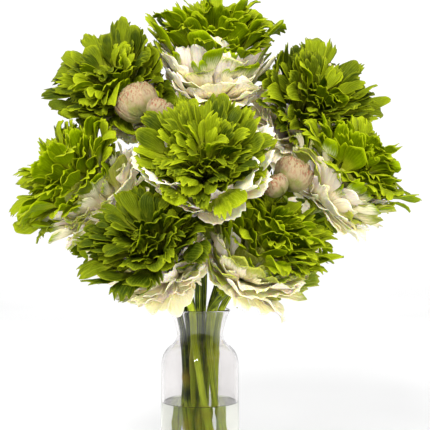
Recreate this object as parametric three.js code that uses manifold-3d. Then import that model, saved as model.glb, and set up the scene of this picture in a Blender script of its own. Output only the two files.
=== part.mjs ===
// Pompon ranunculus in a glass bottle vase: eleven cut flowers and four side buds, standing in water.
// Millimetres, +Z up. The origin is the centre of the vase's foot, and -Y is the side the bunch is made to be seen from.
// Each flower is three bodies: a stem with its receptacle, a ring of cream outer petals, and a green crown whose
// peg goes down through that ring. A flower is drawn in its own frame first, with the receptacle at its origin
// and +Z along the way the flower faces, at the size it has when its crown is CROWN_UNIT in radius.
import * as THREE from "three";
import { mergeVertices } from "three/addons/utils/BufferGeometryUtils.js";
import Module from "manifold-3d";

const wasm = await Module();
wasm.setup();

// Vase
const VASE_HEIGHT = 170;
const BODY_RADIUS = 31.2;
const WAIST_RADIUS = 18.4;
const WAIST_HEIGHT = 150;
const RIM_RADIUS = 24;
const HEEL_RADIUS = 4;
const SHOULDER_HEIGHT = 122;
const GLASS_WALL = 2.2;
const GLASS_FLOOR = 6;
const VASE_SIDES = 18;

// Water and stems
const WATER_LEVEL = 96;
const SEAT_GAP = 0.3;
const STEM_RADIUS = 2.4;
const STEM_SIDES = 6;
const STEM_STEPS = 9;
const STEM_END_HEIGHT = GLASS_FLOOR + 1;
const NECK_HEIGHT = 145;
const RIM_PASS_HEIGHT = 172;
const BUNCH_TWIST = THREE.MathUtils.degToRad(75);
const HOLE_CLEARANCE = 0.7;
const HOLE_SIDES = 8;
// A ring of the bunch: how far its stems are from the vase's axis at the floor, in the neck and at the rim.
const RINGS = {
  middle: { floor: 0, neck: 0, rim: 0 },
  inner: { floor: 11, neck: 6.2, rim: 8 },
  outer: { floor: 22, neck: 12.4, rim: 17 },
};

// Flower, at its drawn size
const CROWN_UNIT = 58;
const CROWN_CENTRE_HEIGHT = 51;
const PETAL_THICKNESS = 0.8;
const NEIGHBOUR_GAP = 1.2;
const NEIGHBOUR_SOFTNESS = 12;
const PEG_RADIUS = 5.5;
const PEG_SIDES = 6;
const RING_HEIGHT = 5;
const RING_RADIUS = 12;
const RECEPTACLE_RADIUS = 8;
const RECEPTACLE_DEPTH = 8;
const CROWN_PETALS = 15;
const SLIVER = 0.15;
const FIRST_SEED = 101;
const GOLDEN_ANGLE = Math.PI * (3 - Math.sqrt(5));

// Where each flower's receptacle is, how wide its crown is, and which way it faces.
const FLOWERS = [
  { name: "top", base: [10, 8, 335], radius: 61, faces: [0.02, -0.25, 0.97], ring: "middle" },
  { name: "upper_left", base: [-58, 30, 328], radius: 54, faces: [-0.45, -0.68, 0.58], ring: "inner" },
  { name: "upper_right", base: [74, 32, 311], radius: 54, faces: [0.45, -0.68, 0.58], ring: "inner" },
  { name: "left", base: [-66, -8, 249], radius: 57, faces: [-0.82, -0.22, 0.53], ring: "outer" },
  { name: "right", base: [92, -20, 253], radius: 56, faces: [0.63, -0.22, 0.75], ring: "outer" },
  { name: "centre", base: [4, -60, 264], radius: 51, faces: [0, -0.85, 0.53], ring: "inner" },
  { name: "lower_left", base: [-23, -54, 199], radius: 50, faces: [-0.4, -0.62, 0.67], ring: "outer" },
  { name: "lower_right", base: [33, -45, 195], radius: 51, faces: [0.5, -0.47, 0.73], ring: "outer" },
  { name: "back_left", base: [-47, 50, 219], radius: 49, faces: [-0.5, 0.72, 0.48], ring: "outer" },
  { name: "back_right", base: [47, 50, 216], radius: 49, faces: [0.5, 0.72, 0.48], ring: "outer" },
  { name: "back_top", base: [3, 60, 285], radius: 49, faces: [0.05, 0.75, 0.66], ring: "inner" },
];

// Side buds. A bud's stalk leaves a flower's stem, or another bud's stalk, at the height given by leaves.
const STALK_RADIUS = 1.3;
const STALK_STEPS = 6;
const BUD_ROUND = 12;
const BUD_RISE = 8;
const BUDS = [
  { name: "left_large", centre: [-47, -40, 330], radius: 16, faces: [-0.2, -0.7, 0.69], on: "upper_left", leaves: 255 },
  { name: "left_small", centre: [-31, -63, 321], radius: 10.5, faces: [0.35, -0.75, 0.56], on: "left_large", leaves: 290 },
  { name: "right_large", centre: [70, -56, 275], radius: 14, faces: [0.15, -0.84, 0.52], on: "upper_right", leaves: 236 },
  { name: "right_small", centre: [56, -80, 266], radius: 9, faces: [-0.1, -0.97, 0.2], on: "right_large", leaves: 262 },
];

const COLOURS = {
  glass: { color: 0xe9f1ee, roughness: 0.05, metalness: 0, transparent: true, opacity: 0.3 },
  water: { color: 0xd6e2d8, roughness: 0.05, metalness: 0, transparent: true, opacity: 0.4 },
  stem: { color: 0x7f9a3c, roughness: 0.55, metalness: 0 },
  crown: { color: 0x5c8a14, roughness: 0.5, metalness: 0 },
  cream: { color: 0xefe8cf, roughness: 0.6, metalness: 0 },
  bud: { color: 0xdcc8ac, roughness: 0.6, metalness: 0 },
};

const group = new THREE.Group();

// Random numbers that are the same on every run
function seededRandom(seed) {
  let state = seed;
  return () => {
    state = (state + 0x6d2b79f5) | 0;
    let mixed = Math.imul(state ^ (state >>> 15), 1 | state);
    mixed = (mixed + Math.imul(mixed ^ (mixed >>> 7), 61 | mixed)) ^ mixed;
    return ((mixed ^ (mixed >>> 14)) >>> 0) / 4294967296;
  };
}

function vector([x, y, z]) {
  return new THREE.Vector3(x, y, z);
}

// Solids and meshes
function solidFrom(positions, triangles) {
  return new wasm.Manifold(
    new wasm.Mesh({
      numProp: 3,
      vertProperties: new Float32Array(positions),
      triVerts: new Uint32Array(triangles),
    }),
  );
}

function solidOf(geometry, matrix = new THREE.Matrix4()) {
  const plain = geometry.clone().applyMatrix4(matrix);
  plain.deleteAttribute("normal");
  plain.deleteAttribute("uv");
  const merged = mergeVertices(plain, 1e-4);
  return solidFrom(merged.attributes.position.array, merged.index.array);
}

// A solid as a geometry. Slivers that joining leaves behind are folded into their neighbours.
function geometryOf(solid) {
  const mesh = solid.asOriginal().simplify(SLIVER).getMesh();
  const geometry = new THREE.BufferGeometry();
  geometry.setAttribute("position", new THREE.BufferAttribute(mesh.vertProperties, 3));
  geometry.setIndex(new THREE.BufferAttribute(mesh.triVerts, 1));
  geometry.computeVertexNormals();
  return geometry;
}

function addNode(name, geometry, finish) {
  const mesh = new THREE.Mesh(geometry, new THREE.MeshStandardMaterial(COLOURS[finish]));
  mesh.name = name;
  group.add(mesh);
}

// The largest closed body of a solid, without loose scraps.
function largestBody(solid) {
  const bodies = solid.decompose();
  return bodies.reduce((best, body) => (body.volume() > best.volume() ? body : best));
}

// Vase: the outline of its outside from the heel up to the lip, moved inwards by an inset
function vaseSide(inset) {
  const side = new THREE.Path();
  side.moveTo(BODY_RADIUS - inset, HEEL_RADIUS);
  side.lineTo(BODY_RADIUS - inset, SHOULDER_HEIGHT);
  side.bezierCurveTo(
    BODY_RADIUS - inset, SHOULDER_HEIGHT + 12,
    BODY_RADIUS - inset - 5.2, SHOULDER_HEIGHT + 18.5,
    WAIST_RADIUS - inset + 3.1, SHOULDER_HEIGHT + 21,
  );
  side.quadraticCurveTo(
    WAIST_RADIUS - inset, SHOULDER_HEIGHT + 23.5,
    WAIST_RADIUS - inset, WAIST_HEIGHT,
  );
  side.quadraticCurveTo(
    WAIST_RADIUS - inset + 1.6, WAIST_HEIGHT + 10,
    RIM_RADIUS - inset, VASE_HEIGHT,
  );
  return side.getPoints(3);
}

function vaseGeometry() {
  const outside = vaseSide(0);
  const inside = vaseSide(GLASS_WALL).reverse();
  inside[inside.length - 1].y = GLASS_FLOOR + 2;
  const profile = [
    new THREE.Vector2(0, 0),
    new THREE.Vector2(BODY_RADIUS - HEEL_RADIUS, 0),
    new THREE.Vector2(BODY_RADIUS - HEEL_RADIUS * 0.3, HEEL_RADIUS * 0.3),
    ...outside,
    ...inside,
    new THREE.Vector2(BODY_RADIUS - GLASS_WALL - 2, GLASS_FLOOR),
    new THREE.Vector2(0, GLASS_FLOOR),
  ];
  return new THREE.LatheGeometry(profile, VASE_SIDES);
}

// Flower frame: places points of the drawn flower in the bunch
function flowerFrame({ base, radius, faces }) {
  const scale = radius / CROWN_UNIT;
  const axis = vector(faces).normalize();
  const foot = vector(base);
  const turn = new THREE.Quaternion().setFromUnitVectors(new THREE.Vector3(0, 0, 1), axis);
  const matrix = new THREE.Matrix4().compose(foot, turn, new THREE.Vector3(scale, scale, scale));
  const middle = foot.clone().addScaledVector(axis, CROWN_CENTRE_HEIGHT * scale);
  return { scale, axis, foot, middle, matrix };
}

for (const flower of FLOWERS) Object.assign(flower, flowerFrame(flower));

// Keeps a flower's petals clear of its neighbours, the way crowded flowers press each other flat.
// Distances to the plane between two flowers, or to a bud, shrink smoothly towards the gap and never pass it.
function pressed(distance) {
  if (distance >= NEIGHBOUR_SOFTNESS) return distance;
  const room = NEIGHBOUR_SOFTNESS - NEIGHBOUR_GAP;
  return NEIGHBOUR_GAP + room * Math.exp((distance - NEIGHBOUR_SOFTNESS) / room);
}

function keepClear(flower, point) {
  for (const other of FLOWERS) {
    if (other === flower) continue;
    const across = other.middle.clone().sub(flower.middle);
    const reach = (across.length() * flower.radius) / (flower.radius + other.radius);
    across.normalize();
    const distance = reach - point.clone().sub(flower.middle).dot(across);
    point.addScaledVector(across, distance - pressed(distance));
  }
  for (const bud of BUDS) {
    const away = point.clone().sub(vector(bud.centre));
    const distance = away.length() - bud.radius - NEIGHBOUR_GAP;
    point.addScaledVector(away.normalize(), pressed(distance) - distance);
  }
  return point;
}

// Petals: an outline has its points as [across, along], with the width and the length both 1, counter-clockwise
function mirrored(half, middle = []) {
  return [...half, ...middle, ...half.map(([across, along]) => [-across, along]).reverse()];
}

// A green petal: a narrow claw, and a blade cut into three leaflets with blunt ends.
const GREEN_OUTLINE = mirrored([[0.06, 0], [0.1, 0.48], [0.5, 0.86], [0.21, 0.79], [0.17, 1]]);
// A cream petal: broad and round, with a shallow notch in its margin.
const CREAM_OUTLINE = mirrored([[0.08, 0], [0.36, 0.36], [0.5, 0.74], [0.28, 0.98]], [[0, 0.93]]);

// The line that a petal follows in the flower's own frame. It leaves the axis leaning by one angle
// and ends leaning by another, and most of that bend is in its outer part.
function petalLine({ start, lean, endLean, length }) {
  const steps = 12;
  const points = [{ radius: start[0], height: start[1], lean }];
  for (let step = 1; step <= steps; step++) {
    const share = step / steps;
    const last = points[step - 1];
    const angle = lean + (endLean - lean) * share * share;
    points.push({
      radius: last.radius + (Math.sin(angle) * length) / steps,
      height: last.height + (Math.cos(angle) * length) / steps,
      lean: angle,
    });
  }
  return (along) => points[Math.min(steps, Math.round(along * steps))];
}

// A petal as a thin solid: its middle surface is placed point by point, then given its thickness.
function petalSolid(outline, petal, flower) {
  const line = petalLine(petal);
  const around = new THREE.Vector3(-Math.sin(petal.azimuth), Math.cos(petal.azimuth), 0);
  const out = new THREE.Vector3(Math.cos(petal.azimuth), Math.sin(petal.azimuth), 0);
  const middle = outline.map(([across, along]) => {
    const { radius, height, lean } = line(along);
    const inward = out.clone().multiplyScalar(-Math.cos(lean)).setZ(Math.sin(lean));
    const sideways = across * petal.width;
    const cup = 4 * across * across * petal.cup + petal.wave * Math.sin(9 * across + petal.azimuth) * along;
    const point = out.clone().multiplyScalar(radius).setZ(height);
    point.addScaledVector(around, sideways * Math.cos(petal.twist));
    point.addScaledVector(inward, sideways * Math.sin(petal.twist) + cup);
    return keepClear(flower, point.applyMatrix4(flower.matrix));
  });
  return thickened(outline, middle);
}

function thickened(outline, middle) {
  const flat = outline.map(([across, along]) => new THREE.Vector2(across, along));
  const faces = THREE.ShapeUtils.triangulateShape(flat, []);
  const normals = middle.map(() => new THREE.Vector3());
  for (const [a, b, c] of faces) {
    const edge = middle[b].clone().sub(middle[a]);
    const normal = edge.cross(middle[c].clone().sub(middle[a]));
    for (const corner of [a, b, c]) normals[corner].add(normal);
  }
  const count = middle.length;
  const upper = middle.map((p, i) => p.clone().addScaledVector(normals[i].normalize(), PETAL_THICKNESS / 2));
  const lower = middle.map((p, i) => p.clone().addScaledVector(normals[i], -PETAL_THICKNESS / 2));
  const triangles = [];
  for (const [a, b, c] of faces) triangles.push(a, b, c, c + count, b + count, a + count);
  for (let i = 0; i < count; i++) {
    const next = (i + 1) % count;
    triangles.push(i + count, next + count, next, i + count, next, i);
  }
  return solidFrom([...upper, ...lower].flatMap((p) => p.toArray()), triangles);
}

// Crown: a small core on a peg, with green petals standing out of it
function crownSolid(flower, random) {
  const core = new THREE.LatheGeometry(
    [[0, SEAT_GAP], [PEG_RADIUS, SEAT_GAP], [PEG_RADIUS, 8], [10, 26], [0, 40]].map(
      ([radius, height]) => new THREE.Vector2(radius, height),
    ),
    PEG_SIDES,
  ).rotateX(Math.PI / 2);
  const spin = 2 * Math.PI * random();
  const petals = Array.from({ length: CROWN_PETALS }, (_, index) => {
    const share = (index + 0.5) / CROWN_PETALS;
    const lean = THREE.MathUtils.degToRad(8 + 42 * Math.sqrt(share));
    return petalSolid(GREEN_OUTLINE, {
      start: [2, 26 - 18 * share],
      lean,
      endLean: lean * (1.15 + 0.55 * share),
      length: 55 + 15 * share + 6 * (random() - 0.5),
      width: 27 + 16 * share,
      azimuth: spin + index * GOLDEN_ANGLE + 0.3 * (random() - 0.5),
      twist: 0.5 * (random() - 0.5),
      cup: 3,
      wave: 0,
    }, flower);
  });
  return wasm.Manifold.union([solidOf(core, flower.matrix), ...petals]);
}

// Outer petals: an inner and an outer round of cream petals, joined by the ring at their feet
function creamSolid(flower, random) {
  const bore = PEG_RADIUS + SEAT_GAP / flower.scale / Math.cos(Math.PI / PEG_SIDES);
  const ring = new THREE.LatheGeometry(
    [[bore, SEAT_GAP], [RING_RADIUS, SEAT_GAP], [RING_RADIUS, RING_HEIGHT], [bore, RING_HEIGHT], [bore, SEAT_GAP]].map(
      ([radius, height]) => new THREE.Vector2(radius, height),
    ),
    PEG_SIDES,
  ).rotateX(Math.PI / 2);
  const rounds = [
    { count: 4, height: 3.6, lean: 56, endLean: 52, length: 42, width: 44, cup: 4 },
    { count: 5, height: 2, lean: 86, endLean: 70, length: 42, width: 44, cup: 3 },
  ];
  const petals = rounds.flatMap((round, layer) =>
    Array.from({ length: round.count }, (_, index) =>
      petalSolid(CREAM_OUTLINE, {
        start: [8, round.height],
        lean: THREE.MathUtils.degToRad(round.lean),
        endLean: THREE.MathUtils.degToRad(round.endLean),
        length: round.length + 3 * (random() - 0.5),
        width: round.width,
        azimuth: ((index + 0.5 * layer) * 2 * Math.PI) / round.count + 0.2 * (random() - 0.5),
        twist: 0.2,
        cup: round.cup,
        wave: 1.2,
      }, flower),
    ),
  );
  return wasm.Manifold.union([solidOf(ring, flower.matrix), ...petals]);
}

// Stems: straight and leaning in the vase, then a curve from the neck to the flower
function regularPolygon(radius, sides) {
  const corners = Array.from({ length: sides }, (_, index) => {
    const angle = (index * 2 * Math.PI) / sides;
    return new THREE.Vector2(radius * Math.cos(angle), radius * Math.sin(angle));
  });
  return new THREE.Shape(corners);
}

function tube(path, radius, sides, steps) {
  return solidOf(new THREE.ExtrudeGeometry(regularPolygon(radius, sides), { extrudePath: path, steps }));
}

function ringPoint(radius, angle, height) {
  return new THREE.Vector3(radius * Math.cos(angle), radius * Math.sin(angle), height);
}

function stemPath(flower) {
  const ring = RINGS[flower.ring];
  const angle = Math.atan2(flower.foot.y, flower.foot.x);
  const foot = ringPoint(ring.floor, angle + BUNCH_TWIST, STEM_END_HEIGHT);
  const neck = ringPoint(ring.neck, angle, NECK_HEIGHT);
  const rim = ringPoint(ring.rim, angle, RIM_PASS_HEIGHT);
  const end = flower.foot.clone().addScaledVector(flower.axis, -RECEPTACLE_DEPTH * flower.scale * 0.5);
  const rise = end.distanceTo(rim);
  const spread = Math.hypot(end.x, end.y) - ring.rim;
  const leaning = ringPoint(0.55 * spread, angle, end.z - RIM_PASS_HEIGHT).normalize();
  const path = new THREE.CurvePath();
  path.add(new THREE.LineCurve3(foot, neck));
  path.add(new THREE.CubicBezierCurve3(
    neck,
    ringPoint(ring.neck + 0.6, angle, NECK_HEIGHT + 8),
    rim.clone().addScaledVector(leaning, -8),
    rim,
  ));
  path.add(new THREE.CubicBezierCurve3(
    rim,
    rim.clone().addScaledVector(leaning, rise * 0.35),
    end.clone().addScaledVector(flower.axis, -rise * 0.22),
    end,
  ));
  return { path, foot, neck };
}

function receptacle(flower) {
  const profile = [[0, -RECEPTACLE_DEPTH], [2.5, -RECEPTACLE_DEPTH], [RECEPTACLE_RADIUS, -1.5], [RECEPTACLE_RADIUS, 0], [0, 0]];
  const cone = new THREE.LatheGeometry(
    profile.map(([radius, height]) => new THREE.Vector2(radius, height)),
    PEG_SIDES,
  ).rotateX(Math.PI / 2);
  return solidOf(cone, flower.matrix);
}

function stalkCurve(bud, parent) {
  const at = parent.getSpacedPoints(100).findIndex((point) => point.z >= bud.leaves) / 100;
  const start = parent.getPointAt(at);
  const axis = vector(bud.faces).normalize();
  const end = vector(bud.centre).addScaledVector(axis, -bud.radius - SEAT_GAP);
  const reach = start.distanceTo(end);
  return new THREE.CubicBezierCurve3(
    start,
    start.clone().addScaledVector(parent.getTangentAt(at), reach * 0.3),
    end.clone().addScaledVector(axis, -reach * 0.35),
    end,
  );
}

// Buds: a ball of wrapped petals, whose edges stand out of it in two overlapping rounds
function budGeometry(bud) {
  const ball = new THREE.SphereGeometry(1, BUD_ROUND, BUD_RISE).rotateX(Math.PI / 2);
  const position = ball.attributes.position;
  for (let i = 0; i < position.count; i++) {
    const point = new THREE.Vector3().fromBufferAttribute(position, i);
    const round = point.z > 0.35 ? 0.5 : 0;
    const wrap = (Math.atan2(point.y, point.x) / (2 * Math.PI)) * 4 + round;
    const fold = 1 - 0.1 * (wrap - Math.floor(wrap)) * Math.hypot(point.x, point.y);
    point.multiplyScalar(bud.radius * fold);
    position.setXYZ(i, point.x, point.y, point.z * (point.z > 0 ? 0.92 : 1));
  }
  return ball;
}

function budSolid(bud) {
  const turn = new THREE.Quaternion().setFromUnitVectors(new THREE.Vector3(0, 0, 1), vector(bud.faces).normalize());
  const matrix = new THREE.Matrix4().compose(vector(bud.centre), turn, new THREE.Vector3(1, 1, 1));
  return solidOf(budGeometry(bud), matrix);
}

// Water: fills the vase to its level, with a plain hole for each stem
function waterSolid(stems) {
  const radius = BODY_RADIUS - GLASS_WALL - SEAT_GAP / Math.cos(Math.PI / VASE_SIDES);
  const profile = [
    [0, GLASS_FLOOR + SEAT_GAP],
    [radius - 2.2, GLASS_FLOOR + SEAT_GAP],
    [radius, GLASS_FLOOR + 2.6],
    [radius, WATER_LEVEL],
    [0, WATER_LEVEL],
  ];
  const body = new THREE.LatheGeometry(
    profile.map(([across, height]) => new THREE.Vector2(across, height)),
    VASE_SIDES,
  ).rotateX(Math.PI / 2);
  const holes = stems.map(({ foot, neck }) => {
    const along = neck.clone().sub(foot).normalize();
    const line = new THREE.LineCurve3(foot.clone().addScaledVector(along, -4), neck);
    return tube(line, STEM_RADIUS + HOLE_CLEARANCE, HOLE_SIDES, 1);
  });
  return largestBody(solidOf(body).subtract(wasm.Manifold.union(holes)));
}

// The bunch, put together
addNode("vase", vaseGeometry().rotateX(Math.PI / 2), "glass");

const stems = FLOWERS.map((flower) => ({ flower, ...stemPath(flower) }));

for (const { flower, path } of stems) {
  const curves = { [flower.name]: path };
  const parts = [tube(path, STEM_RADIUS, STEM_SIDES, STEM_STEPS), receptacle(flower)];
  for (const bud of BUDS) {
    if (!curves[bud.on]) continue;
    curves[bud.name] = stalkCurve(bud, curves[bud.on]);
    parts.push(tube(curves[bud.name], STALK_RADIUS, STEM_SIDES, STALK_STEPS));
  }
  addNode(`stem_${flower.name}`, geometryOf(wasm.Manifold.union(parts)), "stem");
}

FLOWERS.forEach((flower, index) => {
  const random = seededRandom(FIRST_SEED + index);
  addNode(`outer_petals_${flower.name}`, geometryOf(creamSolid(flower, random)), "cream");
  addNode(`crown_${flower.name}`, geometryOf(crownSolid(flower, random)), "crown");
});

for (const bud of BUDS) addNode(`bud_${bud.name}`, geometryOf(budSolid(bud)), "bud");

addNode("water", geometryOf(waterSolid(stems)), "water");

export default group;
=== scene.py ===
# %% [markdown]
# # A bunch of pompon ranunculus in a glass bottle vase
#
# Eleven cut flowers and four side buds stand in a clear vase that is half full of water. The inner petals of
# this kind of ranunculus have turned green and leafy: each head is a frilled green crown over a skirt of
# cream petals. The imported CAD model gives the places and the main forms. This script puts finer pieces around
# it.

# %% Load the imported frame
import math
import random

import bmesh
import bpy
import numpy as np
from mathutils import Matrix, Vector


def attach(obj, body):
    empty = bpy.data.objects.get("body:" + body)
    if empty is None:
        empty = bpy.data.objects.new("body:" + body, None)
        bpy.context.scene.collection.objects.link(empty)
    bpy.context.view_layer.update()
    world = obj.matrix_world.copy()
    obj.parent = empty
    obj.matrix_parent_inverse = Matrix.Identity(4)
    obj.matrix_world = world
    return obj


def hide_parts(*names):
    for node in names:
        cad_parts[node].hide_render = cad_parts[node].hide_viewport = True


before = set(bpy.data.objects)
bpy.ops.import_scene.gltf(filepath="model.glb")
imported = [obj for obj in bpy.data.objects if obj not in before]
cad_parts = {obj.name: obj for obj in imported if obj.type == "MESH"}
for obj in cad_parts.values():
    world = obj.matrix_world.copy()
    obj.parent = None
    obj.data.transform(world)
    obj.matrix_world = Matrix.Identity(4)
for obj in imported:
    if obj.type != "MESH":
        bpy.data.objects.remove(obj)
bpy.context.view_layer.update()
MM = 0.001

# %% [markdown]
# ## Camera
# The picture was taken level with the flowers from a little under a metre away, so the vase is seen from
# slightly above and the top bloom from the side. A long lens keeps the bunch from bulging. The lens is worked
# out from how much width the picture takes in at the vase's axis.

# %% Camera
CAMERA_PLACE = (0.012, -0.8, 0.245)
PICTURE_WIDTH = 0.344
SENSOR_WIDTH = 36

bpy.ops.object.camera_add(location=CAMERA_PLACE, rotation=(math.radians(90), 0, 0))
camera = bpy.context.object
camera.data.sensor_width = SENSOR_WIDTH
camera.data.lens = SENSOR_WIDTH * -CAMERA_PLACE[1] / PICTURE_WIDTH
bpy.context.scene.camera = camera
print("lens:", round(camera.data.lens, 1), "mm")

# %% [markdown]
# ## Floor, backdrop and light
# The bunch stands in a white studio sweep: a floor that curves up into a wall, so there is no line behind it.
# Here it is a plane whose back edge is extruded up in short steps. The wall stands far enough back to leave
# room for a look from behind. The front edge ends 0.3 metres before the vase, so that no bright floor is
# mirrored in the front of the glass. A small lamp at the upper left gives the shadows, a large dim one at the
# right softens them, and a third one lights the wall. A white world fills the rest, as the walls of a studio
# do.

# %% Studio sweep
def deselect_all():
    bpy.ops.object.select_all(action="DESELECT")


def select_points(wanted):
    """In edit mode, selects the vertices that are wanted, and nothing else."""
    edit = bmesh.from_edit_mesh(bpy.context.object.data)
    edit.verts.ensure_lookup_table()
    for vert in edit.verts:
        vert.select = bool(wanted(vert))
    edit.select_flush(False)
    edit.select_flush(True)
    bmesh.update_edit_mesh(bpy.context.object.data)


SWEEP_SIZE = 6.0
SWEEP_FRONT = 0.3
SWEEP_BACK = 1.75
# Steps backwards and upwards from the end of the floor.
SWEEP_CURVE = [(0.25, 0.03), (0.22, 0.09), (0.18, 0.15), (0.12, 0.2), (0.06, 0.25), (0, 2.2)]

deselect_all()
bpy.ops.mesh.primitive_plane_add(size=SWEEP_SIZE, location=(0, SWEEP_BACK - SWEEP_SIZE / 2, 0))
sweep = bpy.context.object
sweep.name = "studio_sweep"
bpy.ops.object.transform_apply(location=True)
bpy.ops.object.mode_set(mode="EDIT")
select_points(lambda v: v.co.y < -SWEEP_FRONT)
bpy.ops.transform.translate(value=(0, SWEEP_SIZE - SWEEP_BACK - SWEEP_FRONT, 0))
select_points(lambda v: v.co.y > 0)
for backwards, up in SWEEP_CURVE:
    bpy.ops.mesh.extrude_region_move(TRANSFORM_OT_translate={"value": (0, backwards, up)})
bpy.ops.object.mode_set(mode="OBJECT")
bpy.ops.object.shade_smooth()
print("sweep:", len(sweep.data.polygons), "faces")

# %% Lamps and world
def add_lamp(name, place, target, size, power):
    bpy.ops.object.light_add(type="AREA", location=place)
    lamp = bpy.context.object
    lamp.name = name
    lamp.data.size = size
    lamp.data.energy = power
    lamp.rotation_euler = (Vector(target) - Vector(place)).to_track_quat("-Z", "Y").to_euler()
    return lamp


add_lamp("lamp_key", (-0.28, -1.2, 1.02), target=(0, 0, 0.27), size=0.28, power=19)
softener = add_lamp("lamp_front", (0.5, -1.6, 0.35), target=(0, 0, 0.24), size=1.4, power=21)
wall_lamp = add_lamp("lamp_backdrop", (0, 1.1, 1.75), target=(0, 2.2, 0.2), size=1.7, power=6)
# Only the key lamp is mirrored in the glass.
for lamp in (softener, wall_lamp):
    lamp.visible_glossy = lamp.visible_transmission = lamp.visible_camera = False

# Glass and water pass a ray on many times, so more bounces than usual are allowed.
BOUNCES = 36
scene = bpy.context.scene
scene.view_settings.view_transform = "Standard"
scene.cycles.max_bounces = scene.cycles.transmission_bounces = BOUNCES
world = bpy.data.worlds.new("white_studio")
world.use_nodes = True
scene.world = world

# %% [markdown]
# ## Node helpers
# A material is a small machine of nodes. These helpers add a node, wire it, and write sums in one line, so
# that each finish below can be read as a recipe.

# %% Adding and wiring nodes
def add_node(tree, kind, **settings):
    made = tree.nodes.new("ShaderNode" + kind)
    for key, value in settings.items():
        setattr(made, key, value)
    return made


def feed(tree, socket, value):
    """Links the socket to another node's output, or sets it to a plain value."""
    if isinstance(value, bpy.types.NodeSocket):
        tree.links.new(value, socket)
    elif socket.type == "RGBA" and len(value) == 3:
        socket.default_value = (*value, 1)
    else:
        socket.default_value = value


def feed_all(tree, node, values):
    for title, value in values.items():
        feed(tree, node.inputs[title], value)


def new_material(name):
    material = bpy.data.materials.new(name)
    material.use_nodes = True
    return material, material.node_tree, material.node_tree.nodes["Principled BSDF"]


def node_group(name, inputs, outputs):
    """A new shader node group with named sockets. Gives its tree, the sockets to read and those to end in."""
    group = bpy.data.node_groups.new(name, "ShaderNodeTree")
    for in_out, sockets in (("INPUT", inputs), ("OUTPUT", outputs)):
        for title, kind in sockets:
            group.interface.new_socket(name=title, in_out=in_out, socket_type="NodeSocket" + kind)
    entry = group.nodes.new("NodeGroupInput")
    leave = group.nodes.new("NodeGroupOutput")
    return group, entry.outputs, leave.inputs


def use_group(tree, group, **values):
    made = add_node(tree, "Group", node_tree=group)
    feed_all(tree, made, {title.replace("_", " "): value for title, value in values.items()})
    return made.outputs


# %% Sums, masks and patterns
def maths(tree, operation, a, b=0.0, clamp=False):
    made = add_node(tree, "Math", operation=operation, use_clamp=clamp)
    feed(tree, made.inputs[0], a)
    feed(tree, made.inputs[1], b)
    return made.outputs[0]


def plus(tree, a, b, clamp=False):
    return maths(tree, "ADD", a, b, clamp)


def minus(tree, a, b):
    return maths(tree, "SUBTRACT", a, b)


def times(tree, a, b):
    return maths(tree, "MULTIPLY", a, b)


def ramp(tree, value, low, high, to_low=0.0, to_high=1.0):
    """Goes smoothly from to_low to to_high as value goes from low to high."""
    made = add_node(tree, "MapRange", interpolation_type="SMOOTHSTEP")
    for socket, number in zip(made.inputs, (value, low, high, to_low, to_high)):
        feed(tree, socket, number)
    return made.outputs[0]


def mixed(tree, share, a, b):
    """Colour a, with a share of colour b. A Mix node has its colours on sockets 6 and 7, its result on 2."""
    made = add_node(tree, "Mix", data_type="RGBA")
    for socket, value in zip((made.inputs[0], made.inputs[6], made.inputs[7]), (share, a, b)):
        feed(tree, socket, value)
    return made.outputs[2]


def split(tree, vector):
    made = add_node(tree, "SeparateXYZ")
    feed(tree, made.inputs[0], vector)
    return made.outputs


def noise(tree, scale, detail=2.0, vector=None, stretch=None):
    """Cloudy noise, on the Object coordinates in metres unless another vector is given."""
    if vector is None:
        vector = add_node(tree, "TexCoord").outputs["Object"]
    if stretch is not None:
        mapping = add_node(tree, "Mapping")
        feed_all(tree, mapping, {"Vector": vector, "Scale": stretch})
        vector = mapping.outputs[0]
    made = add_node(tree, "TexNoise")
    feed_all(tree, made, {"Vector": vector, "Scale": scale, "Detail": detail})
    return made.outputs[0]


def add_bump(tree, surface, height, strength, distance):
    bump = add_node(tree, "Bump")
    feed_all(tree, bump, {"Height": height, "Strength": strength, "Distance": distance})
    feed(tree, surface.inputs["Normal"], bump.outputs[0])


print("node helpers are ready")

# %% Room light
# A ray that leaves on the camera's side meets a darker part of the room, which keeps the glass clear. The light
# that falls on matt surfaces comes evenly from all sides.
DARK_SIDE, WHITE_SIDE, EVEN_LIGHT = 0.15, 1.0, 0.86

room = world.node_tree
direction = split(room, add_node(room, "TexCoord").outputs["Generated"])
seen = ramp(room, direction["Y"], -0.75, 0.1, DARK_SIDE, WHITE_SIDE)
lighting = add_node(room, "Mix", data_type="FLOAT")
feed(room, lighting.inputs[0], add_node(room, "LightPath").outputs["Is Diffuse Ray"])
feed(room, lighting.inputs[2], seen)
feed(room, lighting.inputs[3], EVEN_LIGHT)
feed_all(room, room.nodes["Background"], {"Color": (1, 1, 1), "Strength": lighting.outputs[0]})
print("made", world.name)

# %% Sweep finish
paper, tree, surface = new_material("white_paper_sweep")
paper_tone = mixed(tree, ramp(tree, noise(tree, 3), 0.3, 0.7), (0.88, 0.88, 0.88), (0.91, 0.91, 0.91))
feed_all(tree, surface, {"Base Color": paper_tone, "Roughness": 0.9, "Specular IOR Level": 0.1})
sweep.data.materials.append(paper)
print("made", paper.name)

# %% [markdown]
# ## Effects that petals share
# Every petal, green or cream, has veins that fan out from its foot, a thin margin of another colour, and a
# cloudy tone. Each effect is one node group. The petals carry their own map, called petal: U runs across a
# petal and V from its foot to its tip, so the veins follow every bend. They also carry their own tone: red is
# how bright a petal is, green how cream, and blue how blushed.

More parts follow.
